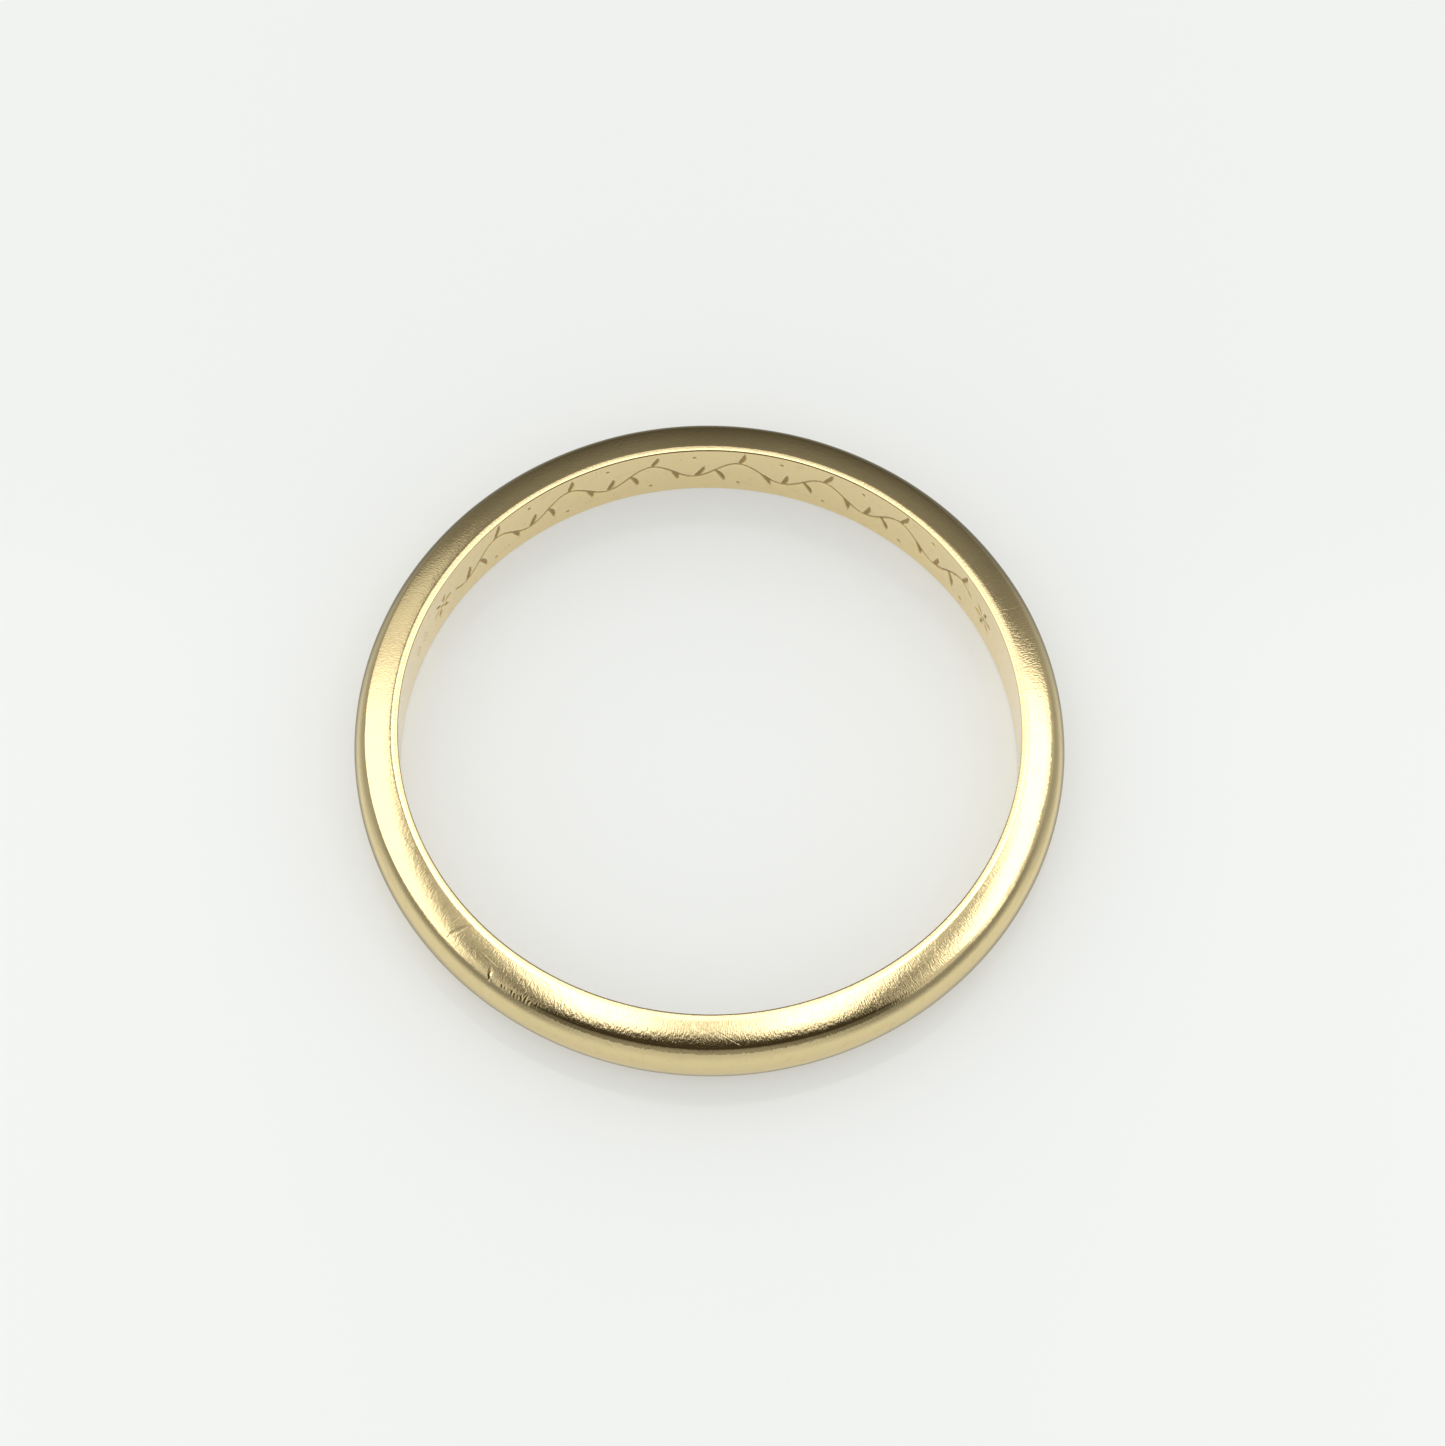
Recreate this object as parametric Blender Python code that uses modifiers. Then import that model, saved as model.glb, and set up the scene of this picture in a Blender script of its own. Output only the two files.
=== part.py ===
"""A plain half-round wedding band: a gold shank bent into a ring and closed by one soldered joint.

The ring lies flat. Its axis is +Z and its centre is the origin. Units are metres.
"""

import math

import bpy

MM = 0.001

# Driving dimensions
INNER_DIAMETER = 17.3 * MM
LAND_WIDTH = 0.18 * MM  # flat rim between the bore and the domed outside, on both edges
EDGE_BREAK = 0.03 * MM  # small bevel where each rim meets the bore

# The domed outside is three tangent arcs each side of the crown.
# Angles are the slope of the outward normal above the ring's plane.
CROWN_RADIUS = 1.32 * MM
SHOULDER_RADIUS = 0.19 * MM
FLANK_RADIUS = 5.27 * MM
CROWN_END = math.radians(40)
SHOULDER_END = math.radians(67)
FLANK_END = math.radians(75)

# The joint that closes the shank
JOINT_AZIMUTH = math.radians(233)
SOLDER_THICKNESS = 0.12 * MM
SOLDER_GAP = 0.002 * MM  # bare clearance on each side, so that the two solids never share a face

# Facets
STEPS_AROUND = 96
CROWN_FACETS = 5
SHOULDER_FACETS = 4
FLANK_FACETS = 2

GOLD_COLOR = (0.87, 0.70, 0.42, 1.0)
GOLD_ROUGHNESS = 0.16
SOLDER_COLOR = (0.85, 0.72, 0.48, 1.0)
SOLDER_ROUGHNESS = 0.24

CROWN_ARC = (CROWN_RADIUS, 0.0, CROWN_END, CROWN_FACETS)
SHOULDER_ARC = (SHOULDER_RADIUS, CROWN_END, SHOULDER_END, SHOULDER_FACETS)
FLANK_ARC = (FLANK_RADIUS, SHOULDER_END, FLANK_END, FLANK_FACETS)
DOME_ARCS = (CROWN_ARC, SHOULDER_ARC, FLANK_ARC)

BORE_RADIUS = INNER_DIAMETER / 2


def arc_span(radius, start, end):
    """How far an arc runs inwards and upwards while its normal turns from start to end."""
    inwards = radius * (math.cos(start) - math.cos(end))
    upwards = radius * (math.sin(end) - math.sin(start))
    return inwards, upwards


def dome_extent():
    """The dome's depth from crown to rim, and half its width."""
    spans = [arc_span(radius, start, end) for radius, start, end, _ in DOME_ARCS]
    return sum(span[0] for span in spans), sum(span[1] for span in spans)


DOME_DEPTH, HALF_WIDTH = dome_extent()
DOME_INNER_RADIUS = BORE_RADIUS + LAND_WIDTH
CROWN_OUTER_RADIUS = DOME_INNER_RADIUS + DOME_DEPTH


def upper_dome_points():
    """Points from the crown up to the rim, as (radius, height)."""
    radius_at = CROWN_OUTER_RADIUS
    height_at = 0.0
    points = [(radius_at, height_at)]
    for radius, start, end, facets in DOME_ARCS:
        for facet in range(1, facets + 1):
            turned = start + (end - start) * facet / facets
            inwards, upwards = arc_span(radius, start, turned)
            points.append((radius_at - inwards, height_at + upwards))
        radius_at, height_at = points[-1]
    return points


def section_points():
    """The closed section of the shank, down its outer side and back up the bore."""
    upper = upper_dome_points()
    lower = [(radius, -height) for radius, height in upper[1:]]
    bore_height = HALF_WIDTH - EDGE_BREAK
    rim_radius = BORE_RADIUS + EDGE_BREAK
    bore_side = [
        (rim_radius, -HALF_WIDTH),
        (BORE_RADIUS, -bore_height),
        (BORE_RADIUS, bore_height),
        (rim_radius, HALF_WIDTH),
    ]
    return upper[::-1] + lower + bore_side


def gold_material(name, color, roughness):
    material = bpy.data.materials.new(name)
    material.use_nodes = True
    shader = material.node_tree.nodes["Principled BSDF"]
    shader.inputs["Base Color"].default_value = color
    shader.inputs["Metallic"].default_value = 1.0
    shader.inputs["Roughness"].default_value = roughness
    return material


def turned_ring(name, collection):
    """The whole section turned once around Z."""
    points = section_points()
    mesh = bpy.data.meshes.new(name)
    loop = [(index, (index + 1) % len(points)) for index in range(len(points))]
    mesh.from_pydata([(radius, 0.0, height) for radius, height in points], loop, [])
    ring = bpy.data.objects.new(name, mesh)
    collection.objects.link(ring)
    screw = ring.modifiers.new("Turned section", "SCREW")
    screw.axis = "Z"
    screw.angle = math.tau
    screw.steps = STEPS_AROUND
    screw.render_steps = STEPS_AROUND
    screw.merge_threshold = 0.001 * MM
    screw.use_smooth_shade = True
    return ring


def joint_block(name, thickness, collection):
    """A block across the shank at the joint, standing well clear of it on every outer side."""
    depth = 3 * DOME_DEPTH
    height = 4 * HALF_WIDTH
    middle = (BORE_RADIUS + CROWN_OUTER_RADIUS) / 2
    bpy.ops.mesh.primitive_cube_add(size=1)
    block = bpy.context.object
    block.name = name
    block.scale = (depth, thickness, height)
    bpy.ops.object.transform_apply(location=False, rotation=False, scale=True)
    block.location = (middle * math.cos(JOINT_AZIMUTH), middle * math.sin(JOINT_AZIMUTH), 0)
    block.rotation_euler = (0, 0, JOINT_AZIMUTH)
    block.display_type = "WIRE"
    block.hide_render = True
    for linked in list(block.users_collection):
        linked.objects.unlink(block)
    collection.objects.link(block)
    return block


def combine(target, cutter, operation):
    boolean = target.modifiers.new(cutter.name, "BOOLEAN")
    boolean.operation = operation
    boolean.solver = "EXACT"
    boolean.object = cutter


def new_collection(name):
    collection = bpy.data.collections.new(name)
    bpy.context.scene.collection.children.link(collection)
    return collection


def build():
    for existing in list(bpy.data.objects):
        bpy.data.objects.remove(existing, do_unlink=True)
    parts = new_collection("wedding_band")
    cutters = new_collection("cutters")

    band = turned_ring("band", parts)
    band.data.materials.append(gold_material("polished_gold", GOLD_COLOR, GOLD_ROUGHNESS))
    slot_width = SOLDER_THICKNESS + 2 * SOLDER_GAP
    combine(band, joint_block("joint_slot", slot_width, cutters), "DIFFERENCE")

    solder = turned_ring("solder_joint", parts)
    solder.data.materials.append(gold_material("gold_solder", SOLDER_COLOR, SOLDER_ROUGHNESS))
    combine(solder, joint_block("solder_slice", SOLDER_THICKNESS, cutters), "INTERSECT")


build()
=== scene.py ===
"""The looks of a plain half-round wedding band lying flat on a pale floor.

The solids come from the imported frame. The band and its soldered joint are remade here as fine
meshes on the same section, with the engraved inner wall and the wear that the solids leave out.
"""

import math

import bpy
import numpy as np
from mathutils import Matrix, Vector


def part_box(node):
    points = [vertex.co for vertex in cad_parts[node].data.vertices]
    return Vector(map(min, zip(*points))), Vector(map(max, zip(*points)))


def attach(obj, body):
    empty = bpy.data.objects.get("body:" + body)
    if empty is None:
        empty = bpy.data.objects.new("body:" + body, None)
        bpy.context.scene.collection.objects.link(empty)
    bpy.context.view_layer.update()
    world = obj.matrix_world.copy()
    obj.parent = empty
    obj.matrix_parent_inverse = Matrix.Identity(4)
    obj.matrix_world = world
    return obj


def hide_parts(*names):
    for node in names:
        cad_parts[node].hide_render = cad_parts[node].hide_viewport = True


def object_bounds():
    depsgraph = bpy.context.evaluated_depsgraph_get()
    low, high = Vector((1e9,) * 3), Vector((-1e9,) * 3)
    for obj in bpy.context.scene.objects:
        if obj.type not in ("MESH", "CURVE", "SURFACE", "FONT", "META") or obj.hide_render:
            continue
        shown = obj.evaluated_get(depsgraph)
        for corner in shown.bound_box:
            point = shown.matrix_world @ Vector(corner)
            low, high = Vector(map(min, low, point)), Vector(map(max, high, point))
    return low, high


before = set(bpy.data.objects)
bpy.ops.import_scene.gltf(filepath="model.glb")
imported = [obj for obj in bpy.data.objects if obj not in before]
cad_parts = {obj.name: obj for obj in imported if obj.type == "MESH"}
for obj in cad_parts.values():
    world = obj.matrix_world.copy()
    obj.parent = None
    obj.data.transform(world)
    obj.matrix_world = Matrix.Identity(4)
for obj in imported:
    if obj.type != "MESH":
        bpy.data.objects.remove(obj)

MM = 0.001
CAD_LOW, CAD_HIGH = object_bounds()

# ---------------------------------------------------------------- section of the band, in mm
# The dome is three tangent arcs each side of the crown: (radius, start, end) with angles as the
# slope of the outward normal above the ring's plane. These are the solid's own arcs.
CROWN = (1.32, 0.0, 40.0)
SHOULDER = (0.19, 40.0, 67.0)
FLANK = (5.27, 67.0, 75.0)
LAND_WIDTH = 0.18
EDGE_RADIUS = 0.05
CREASE_RADIUS = 0.35  # worn rounding between the land and the flank

BAND_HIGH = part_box("band")[1]
OUTER_RADIUS = BAND_HIGH.x / MM
ENGRAVING_DEPTH = 0.05
WEAR = 0.0045  # how far the worn crown lies below the solid's
SKIN = 0.0005  # how far every surface lies below the solid's
WAVE_FADE = 15.0  # degrees short of the rim's slope over which the waves die out
EDGE_PAINTED_SHADE = 0.45  # painted shade: how dark the rounded inner edge is painted, on the scale of the engraved cuts
EDGE_SHADE_SLOPE = 125.0  # edge rows that lean further in than this get the painted shade
TEXTURE_RADIUS = 9.3  # radius at which lengths round the band are measured for the materials

# Joint between the ends of the shank
JOINT_AZIMUTH = 233.0
JOINT_HALF_ANGLE = 0.38

# Facets of the fine mesh: rows along each part of the section, and steps round the band in degrees
CROWN_ROWS = 11
SHOULDER_ROWS = 6
FLANK_ROWS = 9
LAND_ROWS = 2
EDGE_ROWS = 6
CREASE_ROWS = 4
BORE_ROWS = 44
COARSE_STEP = 0.9
FINE_STEP = 0.33
NICKED_STEP = 0.16
ENGRAVED_ARC = (22.0, 176.0)
NICKED_ARC = (219.0, 244.0)


def arc_inwards(radius, start, end):
    return radius * (math.cos(math.radians(start)) - math.cos(math.radians(end)))


DOME_DEPTH = sum(arc_inwards(*arc) for arc in (CROWN, SHOULDER, FLANK))
BORE_RADIUS = OUTER_RADIUS - DOME_DEPTH - LAND_WIDTH


def upper_dome():
    """Rows from the crown up to the land: (radius, height, normal angle)."""
    rows = [(OUTER_RADIUS, 0.0, 0.0)]
    radius_at, height_at = OUTER_RADIUS, 0.0
    for (radius, start, end), count in ((CROWN, CROWN_ROWS), (SHOULDER, SHOULDER_ROWS), (FLANK, FLANK_ROWS)):
        for step in range(1, count + 1):
            angle = start + (end - start) * step / count
            rise = radius * (math.sin(math.radians(angle)) - math.sin(math.radians(start)))
            rows.append((radius_at - arc_inwards(radius, start, angle), height_at + rise, angle))
        radius_at, height_at = rows[-1][:2]
    return rows


def section_rows():
    """The closed section, up the bore, out over the top, down the dome and back in underneath."""
    dome = upper_dome()
    top = dome[-1][1]
    bore_top = top - EDGE_RADIUS
    rows = []
    for height in np.linspace(-bore_top, bore_top, BORE_ROWS):
        rows.append((BORE_RADIUS, height, 180.0))
    for step in range(1, EDGE_ROWS + 1):
        angle = 180.0 - 90.0 * step / EDGE_ROWS
        rows.append((
            BORE_RADIUS + EDGE_RADIUS * (1 + math.cos(math.radians(angle))),
            bore_top + EDGE_RADIUS * math.sin(math.radians(angle)),
            angle,
        ))
    land_start = BORE_RADIUS + EDGE_RADIUS
    flank_slope = FLANK[2]
    land_end = BORE_RADIUS + LAND_WIDTH - CREASE_RADIUS * math.tan(math.radians(90.0 - flank_slope) / 2)
    for step in range(1, LAND_ROWS + 1):
        rows.append((land_start + (land_end - land_start) * step / LAND_ROWS, top, 90.0))
    for step in range(1, CREASE_ROWS + 1):
        angle = 90.0 + (flank_slope - 90.0) * step / CREASE_ROWS
        rows.append((
            land_end + CREASE_RADIUS * math.cos(math.radians(angle)),
            top - CREASE_RADIUS * (1 - math.sin(math.radians(angle))),
            angle,
        ))
    rows += dome[-2::-1]
    outer_end = len(rows)
    upper = rows[BORE_ROWS:outer_end - 1]
    rows += [(radius, -height, -angle) for radius, height, angle in upper[::-1]]
    return np.array(rows)


SECTION = section_rows()
IS_BORE = np.abs(SECTION[:, 2]) == 180.0


def row_lengths():
    """Distance along the section to each row, from the foot of the bore."""
    steps = np.hypot(*np.diff(SECTION[:, :2], axis=0).T)
    return np.concatenate([[0.0], np.cumsum(steps)])


ALONG = row_lengths()


# ---------------------------------------------------------------- engraving on the inner wall
# In mm and degrees. STEM, LEAF, LEAF_TIP, PETAL and LOZENGE are half-widths of cuts, and VINE_DOT and
# ROSETTE_EYE are radii.
VINE_ARC = 8.6  # half the vine's length along the wall
VINE_PITCH = 2.5
VINE_SWING = 0.40
STEM = 0.052
LEAF = 0.076
LEAF_TIP = 0.018
LEAF_LENGTHS = (0.58, 0.74)
LEAF_SLANT = 60.0
LEAF_BEND = 22
VINE_DOT = 0.07
DOT_OFFSET = -1.75  # dot's height over the stem's, on the other side of the middle
ROSETTE_OFFSET = 0.70  # from the vine's end
ROSETTE_EYE = 0.08
ROSETTE_CORE = 0.12
PETAL = 0.058
PETAL_LENGTH = 0.38
LOZENGE_OFFSETS = (1.75, 2.25)
LOZENGE = 0.034
LOZENGE_SIZE = 0.14
FULL_CUT = 0.07  # half-width from which a cut reaches its full depth
FAINTEST_CUT = 0.35


class Engraving:
    """Depth, 0 to 1, of graver cuts over the unrolled wall: u runs right as seen from inside."""

    def __init__(self, azimuth, height):
        self.u = np.radians(90.0 - azimuth)[:, None] * BORE_RADIUS * np.ones((1, len(height)))
        self.v = np.ones((len(azimuth), 1)) * height[None, :]
        self.depth = np.zeros(self.u.shape)

    def cut(self, points, widths, strength=1.0):
        """A groove along points whose half-width runs through widths."""
        for (a, wa), (b, wb) in zip(zip(points, widths), zip(points[1:], widths[1:])):
            reach = max(wa, wb)
            low_u, high_u = min(a[0], b[0]) - reach, max(a[0], b[0]) + reach
            columns = np.where((self.u[:, 0] > low_u) & (self.u[:, 0] < high_u))[0]
            if not len(columns):
                continue
            u, v = self.u[columns], self.v[columns]
            du, dv = b[0] - a[0], b[1] - a[1]
            t = np.clip(((u - a[0]) * du + (v - a[1]) * dv) / max(du * du + dv * dv, 1e-9), 0, 1)
            away = np.hypot(u - a[0] - t * du, v - a[1] - t * dv)
            width = wa + (wb - wa) * t
            groove = np.clip(1.0 - (away / np.maximum(width, 1e-4)) ** 2, 0, 1)
            fullness = np.clip(width / FULL_CUT, FAINTEST_CUT, 1.0)
            self.depth[columns] = np.maximum(self.depth[columns], strength * fullness * groove)

    def leaf(self, root, angle, length, width, bend=0.0):
        """A lens-shaped graver cut from root, thin at both ends."""
        points, widths = [], []
        for step in range(7):
            t = step / 6
            turn = math.radians(angle + bend * (t - 0.5))
            points.append((root[0] + length * t * math.cos(turn), root[1] + length * t * math.sin(turn)))
            widths.append(LEAF_TIP + width * math.sin(math.pi * t ** 0.8))
        self.cut(points, widths)

    def dot(self, u, v, radius):
        self.cut([(u, v), (u + 0.001, v)], [radius, radius])


def vine(engraving, rng):
    """A waving stem with a slanted leaf above and below in turn, and a dot in each bend."""
    def height(u):
        return VINE_SWING * math.sin(math.tau * u / VINE_PITCH)

    steps = np.linspace(-VINE_ARC, VINE_ARC, 150)
    engraving.cut([(u, height(u)) for u in steps], [STEM] * len(steps))
    for index in range(-13, 14):
        u = index * VINE_PITCH / 4 + rng.uniform(-0.05, 0.05)
        side = 1 if index % 2 else -1
        slant = side * (LEAF_SLANT + rng.uniform(-6, 6))
        engraving.leaf((u, height(u)), slant, rng.uniform(*LEAF_LENGTHS), LEAF, LEAF_BEND * side)
    for index in range(-6, 7):
        u = (index + 0.5) * VINE_PITCH / 2
        engraving.dot(u, DOT_OFFSET * height(u), VINE_DOT)


def rosette(engraving, u):
    """Six petals round a dot."""
    engraving.dot(u, 0.0, ROSETTE_EYE)
    for petal in range(6):
        angle = 60.0 * petal + 12.0
        turn = math.radians(angle)
        root = (u + ROSETTE_CORE * math.cos(turn), ROSETTE_CORE * math.sin(turn))
        engraving.leaf(root, angle, PETAL_LENGTH, PETAL)


def punch(engraving, u, v, size):
    """A small lozenge mark."""
    corners = [(u + size, v), (u, v + size * 1.5), (u - size, v), (u, v - size * 1.5), (u + size, v)]
    engraving.cut(corners, [LOZENGE] * len(corners), 0.8)


def engraved_depth(azimuth, height):
    """The ornament on the wall: a running vine, a rosette at each end and lozenges beyond."""
    engraving = Engraving(azimuth, height)
    rng = np.random.default_rng(7)
    vine(engraving, rng)
    for end in (-1, 1):
        rosette(engraving, end * (VINE_ARC + ROSETTE_OFFSET))
    for offset in LOZENGE_OFFSETS:
        punch(engraving, -VINE_ARC - offset, -0.05, LOZENGE_SIZE)
    return engraving.depth


# ---------------------------------------------------------------- wear on the outside
WAVES = ((5, 0.0016), (9, 0.0012), (14, 0.0009), (23, 0.0006), (37, 0.0003))  # times round, height


def gentle_waves(azimuth, along):
    """Slow unevenness left by hand finishing, in mm, the same at 0 and 360 degrees."""
    rng = np.random.default_rng(21)
    turn = np.radians(azimuth)[:, None]
    lift = np.zeros((len(azimuth), len(along)))
    for order, amount in WAVES:
        phase, tilt = rng.uniform(0, math.tau), rng.uniform(0.4, 1.6)
        lift += amount * np.cos(order * turn + tilt * along[None, :] + phase)
    return lift


# Single scratches and dents: (azimuth, mm up the section from the crown, length, half-width,
# degrees of tilt from straight across the band, depth), in mm and degrees
MARKS = (
    (223.2, 1.40, 0.62, 0.034, 27.0, 0.011),
    (222.6, 1.02, 0.24, 0.022, 12.0, 0.004),
    (232.4, 0.95, 0.34, 0.036, -38.0, 0.024),
    (180.5, 0.93, 0.16, 0.030, 70.0, 0.010),
    (205.0, 0.70, 0.30, 0.022, 60.0, 0.005),
    (331.0, 0.92, 0.28, 0.026, -20.0, 0.008),
    (25.0, 1.25, 0.50, 0.020, 80.0, 0.003),
    (27.0, 1.32, 0.42, 0.020, 84.0, 0.003),
    (187.0, 1.30, 0.34, 0.022, 40.0, 0.003),
    (171.0, 1.22, 0.30, 0.022, 52.0, 0.003),
)
# Stretches of azimuth that hold small dents, and how many
CHATTER = (235.2, 240.2, 9)
PITS = ((336.0, 352.0, 14), (196.0, 214.0, 8), (262.0, 300.0, 9))


def all_marks():
    """The single marks, the row of chattered dents by the joint, and pits low on the dome."""
    marks = list(MARKS)
    rng = np.random.default_rng(33)
    start, end, count = CHATTER
    for step in range(count):
        place = start + (end - start) * step / (count - 1)
        marks.append((place, 0.90 + rng.uniform(-0.02, 0.03), rng.uniform(0.08, 0.17),
                      rng.uniform(0.020, 0.032), rng.uniform(-50, 20), rng.uniform(0.006, 0.014)))
    for start, end, count in PITS:
        for _ in range(count):
            marks.append((rng.uniform(start, end), rng.uniform(0.15, 0.85), rng.uniform(0.01, 0.05),
                          rng.uniform(0.020, 0.032), rng.uniform(-80, 80), rng.uniform(0.004, 0.009)))
    return marks


def mark_depth(azimuth, across):
    """Depth in mm of the dents and scratches; across is the distance up from the crown."""
    depth = np.zeros((len(azimuth), len(across)))
    for place, height, length, width, tilt, deep in all_marks():
        away = (azimuth - place + 180.0) % 360.0 - 180.0
        columns = np.where(np.abs(away) < 10.0)[0]
        if not len(columns):
            continue
        u = np.radians(away[columns])[:, None] * OUTER_RADIUS
        v = (across - height)[None, :]
        c, s = math.cos(math.radians(tilt)), math.sin(math.radians(tilt))
        lengthways = np.abs(v * c + u * s)
        sideways = u * c - v * s
        ends = np.clip((length / 2 + width - lengthways) / (length / 2 + width), 0, 1) ** 0.6
        groove = deep * ends * np.clip(1 - (sideways / width) ** 2, 0, 1)
        depth[columns] = np.maximum(depth[columns], groove)
    return depth


# ---------------------------------------------------------------- meshes
def azimuth_steps(start, end):
    """Azimuths from start to end, closely spaced over the engraved and nicked stretches."""
    edges = {start, end}
    for low, high in (ENGRAVED_ARC, NICKED_ARC):
        for turns in (-360.0, 0.0, 360.0):
            for edge in (low + turns, high + turns):
                if start < edge < end:
                    edges.add(edge)
    edges = sorted(edges)
    azimuths = [start]
    for low, high in zip(edges, edges[1:]):
        middle = (low + high) / 2 % 360.0
        step = COARSE_STEP
        for (first, last), finer in ((ENGRAVED_ARC, FINE_STEP), (NICKED_ARC, NICKED_STEP)):
            if first < middle < last:
                step = finer
        count = max(1, math.ceil((high - low) / step))
        azimuths += list(np.linspace(low, high, count + 1)[1:])
    return np.array(azimuths)


def surface(azimuth):
    """Points of the worn, engraved surface, and how dark each one is painted: tarnish and painted shade in
    the engraved cuts, painted shade on the rounded inner edge.
    """
    radius, height, slope = SECTION.T
    crown_row = int(np.argmax(radius))
    across = ALONG[crown_row] - ALONG
    outside = np.cos(np.radians(slope)) > 0.01
    sink = np.full((len(azimuth), len(radius)), SKIN)
    lean = np.abs(slope[outside])
    sink[:, outside] += WEAR * np.cos(np.radians(lean))
    sink[:, outside] += gentle_waves(azimuth, ALONG[outside]) * np.clip((90.0 - lean) / WAVE_FADE, 0, 1)
    sink += mark_depth(azimuth, across) * outside
    cuts = np.zeros_like(sink)
    cuts[:, IS_BORE] = engraved_depth(azimuth % 360.0, height[IS_BORE])
    sink += cuts * ENGRAVING_DEPTH
    sink[:, outside] = np.clip(sink[:, outside], SKIN, None)
    # painted shade along the rounded inner edge, stored with the depths of the cuts
    cuts[:, (np.abs(slope) > EDGE_SHADE_SLOPE) & ~IS_BORE] = EDGE_PAINTED_SHADE
    r = radius[None, :] - sink * np.cos(np.radians(slope))[None, :]
    z = height[None, :] - sink * np.sin(np.radians(slope))[None, :]
    turn = np.radians(azimuth)[:, None]
    points = np.stack([r * np.cos(turn), r * np.sin(turn), np.broadcast_to(z, r.shape)], -1) * MM
    return points, cuts


def swept_body(name, start, end):
    """A closed body along the section from one azimuth to another, with flat ends."""
    azimuth = azimuth_steps(start, end)
    points, cuts = surface(azimuth)
    across, around = len(SECTION), len(azimuth)
    index = np.arange(around * across).reshape(around, across)
    following = np.roll(index, -1, axis=1)
    quads = np.stack([index[:-1], following[:-1], following[1:], index[1:]], -1).reshape(-1, 4)
    caps = [index[0][::-1], index[-1]]
    corners = np.concatenate([quads.ravel()] + caps)
    starts = np.concatenate([np.arange(len(quads)) * 4, len(quads) * 4 + np.array([0, across])])
    totals = np.concatenate([np.full(len(quads), 4), [across, across]])

    mesh = bpy.data.meshes.new(name)
    mesh.vertices.add(around * across)
    mesh.vertices.foreach_set("co", points.reshape(-1).astype(np.float32))
    mesh.loops.add(len(corners))
    mesh.loops.foreach_set("vertex_index", corners.astype(np.int32))
    mesh.polygons.add(len(starts))
    mesh.polygons.foreach_set("loop_start", starts.astype(np.int32))
    mesh.polygons.foreach_set("loop_total", totals.astype(np.int32))
    smooth = np.ones(len(starts), bool)
    smooth[-2:] = False
    mesh.polygons.foreach_set("use_smooth", smooth)
    mesh.update(calc_edges=True)
    ends = np.zeros((len(mesh.edges), 2), np.int32)
    mesh.edges.foreach_get("vertices", ends.reshape(-1))
    ring = ends // across
    rims = (ring[:, 0] == ring[:, 1]) & ((ring[:, 0] == 0) | (ring[:, 0] == around - 1))
    mesh.attributes.new("sharp_edge", "BOOLEAN", "EDGE").data.foreach_set("value", rims)

    # how dark each point is painted: tarnish and painted shade in the engraved cuts, painted shade on the
    # rounded inner edge
    tarnish_and_shade = mesh.attributes.new("tarnish_and_shade", "FLOAT", "POINT")
    tarnish_and_shade.data.foreach_set("value", cuts.reshape(-1).astype(np.float32))
    unrolled = mesh.attributes.new("unrolled", "FLOAT_VECTOR", "POINT")
    u = np.radians(azimuth)[:, None] * TEXTURE_RADIUS * np.ones((1, across))
    v = np.ones((around, 1)) * ALONG[None, :]
    place = np.stack([u, v, np.zeros_like(u)], -1)
    unrolled.data.foreach_set("vector", place.reshape(-1).astype(np.float32))

    body = bpy.data.objects.new(name, mesh)
    bpy.context.scene.collection.objects.link(body)
    return body


# ---------------------------------------------------------------- node helpers
class Graph:
    """Adds shader nodes and joins them, with plain numbers allowed wherever a socket is."""

    def __init__(self, tree):
        self.tree = tree
        tree.nodes.clear()

    def node(self, kind, inputs=None, **settings):
        made = self.tree.nodes.new(kind)
        for key, value in settings.items():
            setattr(made, key, value)
        for key, value in (inputs or {}).items():
            self.feed(made.inputs[key], value)
        return made

    def feed(self, socket, value):
        if isinstance(value, bpy.types.NodeSocket):
            self.tree.links.new(value, socket)
        else:
            socket.default_value = value

    def math(self, operation, *values, clamp=False):
        made = self.node("ShaderNodeMath", operation=operation, use_clamp=clamp)
        for socket, value in zip(made.inputs, values):
            self.feed(socket, value)
        return made.outputs[0]

    def ramp(self, value, low, high, out_low=0.0, out_high=1.0):
        """A smooth step from out_low at low to out_high at high."""
        made = self.node("ShaderNodeMapRange", interpolation_type="SMOOTHSTEP")
        for key, given in zip(("Value", "From Min", "From Max", "To Min", "To Max"),
                              (value, low, high, out_low, out_high)):
            self.feed(made.inputs[key], given)
        return made.outputs["Result"]

    def blend(self, a, b, factor):
        """a at factor 0, b at factor 1."""
        return self.math("ADD", a, self.math("MULTIPLY", factor, self.math("SUBTRACT", b, a)))

    def mix_color(self, factor, a, b, blend="MIX"):
        made = self.node("ShaderNodeMix", data_type="RGBA", blend_type=blend)
        self.feed(made.inputs[0], factor)
        self.feed(made.inputs[6], a)
        self.feed(made.inputs[7], b)
        return made.outputs[2]


# ---------------------------------------------------------------- gold
GOLD = (0.90, 0.735, 0.40, 1.0)
SOLDER = (0.90, 0.745, 0.43, 1.0)
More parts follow.
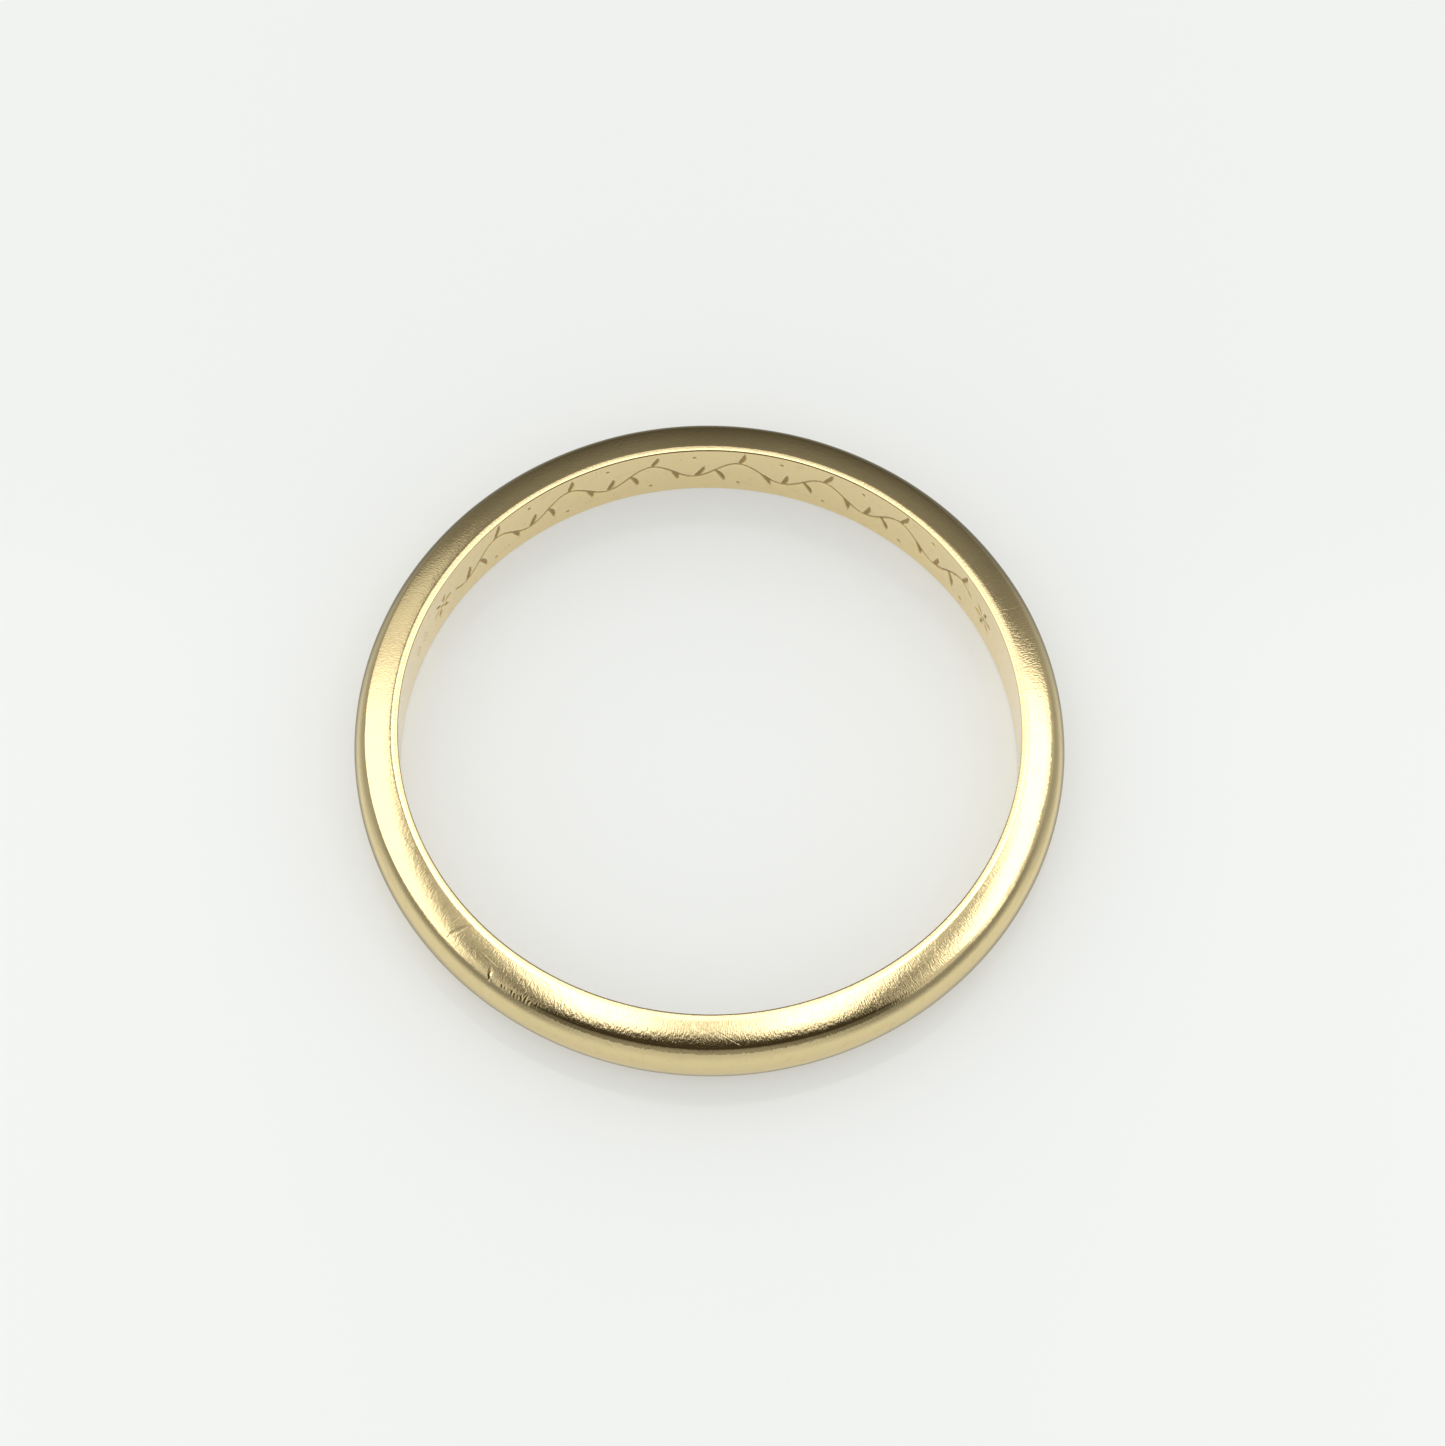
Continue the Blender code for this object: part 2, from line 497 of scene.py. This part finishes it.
# dark brown for the specks, and for the cuts and the inner edge, where it is partly tarnish and partly
# painted shade
TARNISH_AND_SHADE_BROWN = (0.34, 0.21, 0.06, 1.0)
WORN_BROWN = (0.60, 0.42, 0.19, 1.0)
GOLD_ROUGHNESS = 0.09
SOLDER_ROUGHNESS = 0.10
HAIRLINE_DEPTH = 0.0010  # mm
MOTTLE_DEPTH = 0.0034  # mm
FINE_HAIRLINES = (3, 17, 0.9, 0.58, 0.76)  # turn in degrees, density across and along, low, high
STRAY_HAIRLINES = ((58, 12, 0.55, 0.66, 0.78), (-41, 13, 0.5, 0.66, 0.78), (83, 15, 0.6, 0.66, 0.78))
SPECK_SIZE = (0.035, 0.065)  # core and rim, in cells
SPECKLED_CELLS = 0.80  # cells above this on a scale of 0 to 1 hold a speck


def hairlines(graph, place, turn, across, along, low, high):
    """Thin broken lines in one direction over the unrolled surface, 0 to 1."""
    turned = graph.node("ShaderNodeMapping", {"Vector": place, "Rotation": (0, 0, math.radians(turn))})
    stretched = graph.node("ShaderNodeMapping", {"Vector": turned.outputs[0], "Scale": (across, along, 1.0)})
    noise = graph.node("ShaderNodeTexNoise", {"Vector": stretched.outputs[0], "Scale": 1.0, "Detail": 1.0})
    return graph.ramp(noise.outputs["Fac"], low, high)


def gold_material(name, color, roughness):
    """Polished yellow gold with hairlines, a fine mottle and soft stains, engraved cuts painted dark as
    tarnish and as painted shade, and painted shade along the rounded inner edge.
    """
    material = bpy.data.materials.new(name)
    material.use_nodes = True
    graph = Graph(material.node_tree)
    place = graph.node("ShaderNodeAttribute", attribute_name="unrolled").outputs["Vector"]
    cut = graph.node("ShaderNodeAttribute", attribute_name="tarnish_and_shade").outputs["Fac"]
    # darkness from the attribute: tarnish and painted shade in the cuts, painted shade on the inner edge
    dark = graph.ramp(cut, 0.10, 0.70)

    def noise(scale, detail=2.0):
        made = graph.node("ShaderNodeTexNoise", {"Vector": place, "Scale": scale, "Detail": detail})
        return made.outputs["Fac"]

    cloudy = noise(0.9, 3.0)
    worn = graph.ramp(noise(1.7), 0.40, 0.62)
    lines = graph.math("MULTIPLY", hairlines(graph, place, *FINE_HAIRLINES), 0.6)
    for stray in STRAY_HAIRLINES:
        more = graph.math("MULTIPLY", hairlines(graph, place, *stray), 0.8)
        lines = graph.math("MAXIMUM", lines, more)
    lines = graph.math("MULTIPLY", lines, graph.math("ADD", 0.35, graph.math("MULTIPLY", worn, 0.65)))

    rough = graph.math("ADD", roughness, graph.math("MULTIPLY", graph.math("SUBTRACT", cloudy, 0.5), 0.12))
    rough = graph.math("ADD", rough, graph.math("MULTIPLY", lines, 0.10))
    rough = graph.math("ADD", rough, graph.math("MULTIPLY", dark, 0.30), clamp=True)

    grooves = graph.node("ShaderNodeBump", {"Strength": 1.0, "Distance": HAIRLINE_DEPTH * MM,
                                            "Height": graph.math("SUBTRACT", 1.0, lines)})
    streaked = graph.node("ShaderNodeMapping", {"Vector": place, "Scale": (1.0, 0.35, 1.0)}).outputs[0]
    grain = graph.node("ShaderNodeTexNoise", {"Vector": streaked, "Scale": 24.0, "Detail": 3.0})
    mottle = graph.math("ADD", grain.outputs["Fac"], graph.math("MULTIPLY", noise(10.0), 0.40))
    bump = graph.node("ShaderNodeBump", {"Strength": 1.0, "Distance": MOTTLE_DEPTH * MM, "Height": mottle,
                                         "Normal": grooves.outputs[0]})

    cells = graph.node("ShaderNodeTexVoronoi", {"Vector": place, "Scale": 1.9})
    chosen = graph.node("ShaderNodeSeparateColor", {0: cells.outputs["Color"]}).outputs[0]
    specks = graph.math("MULTIPLY", graph.ramp(cells.outputs["Distance"], *SPECK_SIZE, 1.0, 0.0),
                        graph.math("GREATER_THAN", chosen, SPECKLED_CELLS))
    stains = graph.math("MULTIPLY", graph.ramp(noise(3.2, 4.0), 0.52, 0.75), 0.16)
    shade = graph.mix_color(stains, color, WORN_BROWN)
    shade = graph.mix_color(graph.math("MULTIPLY", lines, 0.10), shade, WORN_BROWN)
    shade = graph.mix_color(graph.math("MULTIPLY", specks, 0.55), shade, TARNISH_AND_SHADE_BROWN)
    # darken the cuts and the inner edge, partly as tarnish and partly as painted shade
    shade = graph.mix_color(graph.math("MULTIPLY", dark, 0.85), shade, TARNISH_AND_SHADE_BROWN)
    shader = graph.node("ShaderNodeBsdfPrincipled", {
        "Base Color": shade, "Metallic": 1.0, "Roughness": rough, "Normal": bump.outputs[0],
    })
    graph.node("ShaderNodeOutputMaterial", {"Surface": shader.outputs[0]})
    return material


# ---------------------------------------------------------------- studio
# Each panel is a cone of directions from the ring, held between planes through the ring. A plane
# (a, b, c, soft) keeps a*x + b*y + c*z > 0, with x right, y away from the camera and z up; soft is
# half the width of its blurred edge. The second value is the panel's brightness.
OVERHEAD = ((-1, 0.14, 0.385, 0.05), (1, 0.14, 0.375, 0.05), (0, 1, 0.305, 0.06), (0, -1, 0.52, 0.03))
OVERHEAD_REAR = ((-1, 0, 0.45, 0.05), (1, 0, 0.44, 0.05), (0, 1, -0.30, 0.05), (0, -1, 0.74, 0.07))
LEFT_PANEL = ((-0.50, -1, 0.44, 0.16), (-0.575, 1, -0.206, 0.06), (-1, 0, -0.66, 0.04))
LEFT_REAR = ((-0.50, -1, 0.95, 0.15), (-0.575, 1, -0.206, 0.06), (-1, 0, -0.66, 0.04))
LEFT_STRIP = ((0.50, -1, 0.11, 0.04), (-1.00, 1, -0.128, 0.06), (-1, 0, -0.50, 0.05))
RIGHT_WINDOW = ((-1.04, 0.27, 1, 0.06), (0.30, -1, 0.60, 0.08), (1, 0, -0.62, 0.03), (0.35, 1, -0.105, 0.04))
RIGHT_BRIDGE = ((1, 0, -0.40, 0.05), (-1, 0, 0.70, 0.05), (0, 1, -0.20, 0.06), (0, -1, 0.95, 0.10))
RIGHT_WEDGE = ((-0.15, -1, 0.30, 0.12), (0.35, 1, -0.105, 0.04), (1, 0, -0.62, 0.03))
RIGHT_STRIP = ((-0.30, -1, 0.10, 0.04), (0.88, 1, -0.158, 0.05), (1, 0, -0.50, 0.05))
PANELS = (
    (OVERHEAD, 2.5),
    (OVERHEAD_REAR, 1.20),
    (LEFT_PANEL, 1.75),
    (LEFT_REAR, 0.74),
    (LEFT_STRIP, 0.62),
    (RIGHT_WINDOW, 2.3),
    (RIGHT_BRIDGE, 1.30),
    (RIGHT_WEDGE, 1.40),
    (RIGHT_STRIP, 0.60),
)
# Dimmer fills in the same form, and the glow low in front: strength, height where it ends
RIGHT_FILL = ((0.73, -0.68, 0, 0.42), (0.25, 1, 0, 0.15))
LEFT_FILL = ((-0.80, -0.60, 0.1, 0.45), (-0.45, 1, 0, 0.15))
RIGHT_FILL_LIGHT = 0.42
LEFT_FILL_LIGHT = 0.30
FRONT_GLOW = (0.34, 0.36)
HIGH_BEHIND_LIGHT = 0.15
AROUND_OVERHEAD_LIGHT = 0.52
DOME_COLOR = (0.96, 0.975, 0.965, 1.0)
ROOM_BEHIND = (0.085, 0.080, 0.070, 1.0)
ROOM_IN_FRONT = (0.050, 0.041, 0.028, 1.0)
# The camera's shadow: half-width over height at core and rim, depth, added depth in front, and where
# the added depth begins and ends, as y over height
CAMERA_SHADOW = ((0.03, 0.15), 0.40, 0.31, (-0.11, -0.01))
DARK_HORIZON = (-0.02, 0.09, 0.30)  # height where darkest, height where it ends, light kept


def studio_light():
    """Soft panels overhead and to both sides, in a dark room, less the strip that the camera hides.

    Only the mirror-like gold sees the panels; the floor is lit by an even pale dome.
    """
    world = bpy.data.worlds.new("studio")
    world.use_nodes = True
    world.cycles.sampling_method = "NONE"
    bpy.context.scene.world = world
    graph = Graph(world.node_tree)
    direction = graph.node("ShaderNodeTexCoord").outputs["Generated"]
    x, y, z = graph.node("ShaderNodeSeparateXYZ", {0: direction}).outputs

    def plane(a, b, c, soft):
        total = graph.math("MULTIPLY", x, a)
        total = graph.math("ADD", total, graph.math("MULTIPLY", y, b))
        total = graph.math("ADD", total, graph.math("MULTIPLY", z, c))
        return graph.ramp(total, -soft, soft)

    def product(*values):
        total = values[0]
        for value in values[1:]:
            total = graph.math("MULTIPLY", total, value)
        return total

    def grey(value):
        made = graph.node("ShaderNodeCombineColor", {"Red": value, "Green": value, "Blue": value})
        return made.outputs[0]

    # the room, lighter to the sides, low in front, high up behind and round the overhead panel
    sideways = graph.math("ABSOLUTE", x)
    room = graph.mix_color(graph.ramp(y, -0.3, 0.3), ROOM_IN_FRONT, ROOM_BEHIND)
    right_fill = product(*(plane(*each) for each in RIGHT_FILL), RIGHT_FILL_LIGHT)
    left_fill = product(*(plane(*each) for each in LEFT_FILL), LEFT_FILL_LIGHT)
    glow, glow_top = FRONT_GLOW
    front_glow = product(graph.ramp(z, 0.0, glow_top, glow, 0.0), plane(0, -1, 0, 0.5),
                         graph.ramp(sideways, 0.1, 0.7, 1.0, 0.25))
    high_behind = product(graph.ramp(z, 0.22, 0.60, 0.0, HIGH_BEHIND_LIGHT), plane(0, 1, 0, 0.4))
    around_overhead = product(graph.ramp(z, 0.80, 0.90), graph.ramp(sideways, 0.30, 0.42),
                              plane(0, 1, 0.12, 0.10), AROUND_OVERHEAD_LIGHT)
    light = graph.math("ADD", front_glow, high_behind)
    for fill in (right_fill, left_fill, around_overhead):
        light = graph.math("MAXIMUM", light, fill)
    for planes, brightness in PANELS:
        light = graph.math("MAXIMUM", light, product(*(plane(*each) for each in planes), brightness))
    low, high, darkest = DARK_HORIZON
    light = product(light, graph.ramp(z, low, high, darkest, 1.0))

    # the camera hides a narrow strip of the overhead panel
    (core, rim), depth, more, (begin, end) = CAMERA_SHADOW
    steep = graph.math("MAXIMUM", z, 0.05)
    beside = graph.ramp(graph.math("DIVIDE", sideways, steep), core, rim, 1.0, 0.0)
    before = graph.ramp(graph.math("DIVIDE", y, steep), begin, end, 1.0, 0.0)
    hidden = product(beside, graph.math("ADD", depth, graph.math("MULTIPLY", before, more)))
    light = product(light, graph.math("SUBTRACT", 1.0, hidden))

    mirrored = graph.mix_color(1.0, room, grey(light), "ADD")
    rays = graph.node("ShaderNodeLightPath")
    dome = graph.node("ShaderNodeBackground", {"Color": DOME_COLOR, "Strength": 1.0})
    seen = graph.node("ShaderNodeBackground", {"Color": mirrored, "Strength": 1.0})
    both = graph.node("ShaderNodeMixShader", {0: rays.outputs["Is Glossy Ray"], 1: dome.outputs[0],
                                              2: seen.outputs[0]})
    graph.node("ShaderNodeOutputWorld", {"Surface": both.outputs[0]})


FLOOR_COLOR = (0.895, 0.903, 0.890, 1.0)
# painted light: the share of the floor that glows with its own colour, lightening the ring's shadow on it as
# light scattered inside marble would
FLOOR_GLOW = 0.34
FLOOR_GLOSS = 0.022
FLOOR_SHINE = 0.07  # roughness of the faint reflection
SHADOWED = (0.05, 0.05, 0.05, 1.0)
# How bright the gold sees the floor: steepness of the look down at each end, and brightness there
SEEN_AT_SIDES = (0.28, 0.75, 0.40, 1.0)
SEEN_IN_FRONT = (0.05, 0.45, 0.68, 0.88)
SEEN_BEHIND = (0.55, 0.95, 0.12, 0.45)
SEEN_AT_CORNERS = (0.12, 0.44, 0.27, 0.88)
SEEN_INSIDE = (-0.80, -0.45, 0.30, 1.0)  # inside the ring, by how far the look runs away from the camera


def pale_floor():
    """A plain pale slab with a faint reflection. Part of its colour glows as painted light, lightening the
    ring's shadow on it.

    The gold sees it dimmer close in, as the ring's own foot shades it, most of all behind. Only
    mirrored rays are dimmed, so the floor itself stays even.
    """
    bpy.ops.mesh.primitive_plane_add(size=3.0, location=(0, 0, CAD_LOW.z))
    floor = bpy.context.object
    floor.name = "floor"
    material = bpy.data.materials.new("pale_slab")
    material.use_nodes = True
    graph = Graph(material.node_tree)
    rays = graph.node("ShaderNodeLightPath")
    geometry = graph.node("ShaderNodeNewGeometry")
    x, y, tilt = graph.node("ShaderNodeSeparateXYZ", {0: geometry.outputs["Incoming"]}).outputs
    side = graph.ramp(tilt, *SEEN_AT_SIDES)
    front = graph.ramp(tilt, *SEEN_IN_FRONT)
    behind = graph.ramp(tilt, *SEEN_BEHIND)
    along = graph.ramp(y, -0.25, 0.25)
    ahead = graph.blend(behind, front, along)
    corner = graph.ramp(tilt, *SEEN_AT_CORNERS)
    forward = graph.ramp(y, -0.30, 0.15)
    side = graph.blend(side, corner, forward)
    sideways = graph.ramp(graph.math("ABSOLUTE", x), 0.35, 0.75)
    level = graph.blend(ahead, side, sideways)
    reach = graph.node("ShaderNodeVectorMath", {0: geometry.outputs["Position"]}, operation="LENGTH")
    inside = graph.ramp(reach.outputs["Value"], BORE_RADIUS * MM, OUTER_RADIUS * MM, 1.0, 0.0)
    inside = graph.math("MULTIPLY", inside, graph.ramp(y, *SEEN_INSIDE))
    dim = graph.mix_color(graph.math("MAXIMUM", level, inside), SHADOWED, FLOOR_COLOR)
    color = graph.mix_color(rays.outputs["Is Glossy Ray"], FLOOR_COLOR, dim)
    matt = graph.node("ShaderNodeBsdfDiffuse", {"Color": color})
    # painted light: the floor's glow, mixed in with its matt shading
    glow = graph.node("ShaderNodeEmission", {"Color": color, "Strength": 1.0})
    slab = graph.node("ShaderNodeMixShader", {0: FLOOR_GLOW, 1: matt.outputs[0], 2: glow.outputs[0]})
    gloss = graph.node("ShaderNodeBsdfGlossy", {"Color": (1, 1, 1, 1), "Roughness": FLOOR_SHINE})
    both = graph.node("ShaderNodeMixShader", {0: FLOOR_GLOSS, 1: slab.outputs[0], 2: gloss.outputs[0]})
    graph.node("ShaderNodeOutputMaterial", {"Surface": both.outputs[0]})
    floor.data.materials.append(material)


# ---------------------------------------------------------------- camera
# Distances are in inner radii of the ring and angles in degrees.
CAMERA_DISTANCE = 20.0
CAMERA_ELEVATION = 64.59
CAMERA_ROLL = 1.59
AIM = (0.040, 0.076)
FOCAL_RATIO = 4.2885813  # focal length over the frame's width
SENSOR_WIDTH = 36.0
CLIP_RANGE = (0.001, 20.0)  # m


def raised_camera():
    """The camera, in front of the ring and high above it."""
    data = bpy.data.cameras.new("camera")
    data.sensor_width = SENSOR_WIDTH
    data.lens = SENSOR_WIDTH * FOCAL_RATIO
    data.clip_start, data.clip_end = CLIP_RANGE
    camera = bpy.data.objects.new("camera", data)
    bpy.context.scene.collection.objects.link(camera)
    unit = BORE_RADIUS * MM
    rise = math.radians(CAMERA_ELEVATION)
    eye = Vector((0, -math.cos(rise), math.sin(rise))) * CAMERA_DISTANCE * unit
    aim = Vector((AIM[0], AIM[1], 0)) * unit
    look = (aim - eye).to_track_quat("-Z", "Y").to_matrix().to_4x4()
    roll = Matrix.Rotation(math.radians(CAMERA_ROLL), 4, "Z")
    camera.matrix_world = Matrix.Translation(eye) @ look @ roll
    bpy.context.scene.camera = camera


# ---------------------------------------------------------------- build
solder_start, solder_end = JOINT_AZIMUTH - JOINT_HALF_ANGLE, JOINT_AZIMUTH + JOINT_HALF_ANGLE

band = swept_body("gold_band", solder_end, JOINT_AZIMUTH + 360.0 - JOINT_HALF_ANGLE)
band.data.materials.append(gold_material("worn_gold", GOLD, GOLD_ROUGHNESS))
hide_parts("band")
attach(band, "root")

solder = swept_body("solder_slice", solder_start, solder_end)
solder.data.materials.append(gold_material("solder_gold", SOLDER, SOLDER_ROUGHNESS))
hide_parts("solder_joint")
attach(solder, "root")

pale_floor()
studio_light()
raised_camera()
bpy.context.scene.view_settings.view_transform = "Standard"
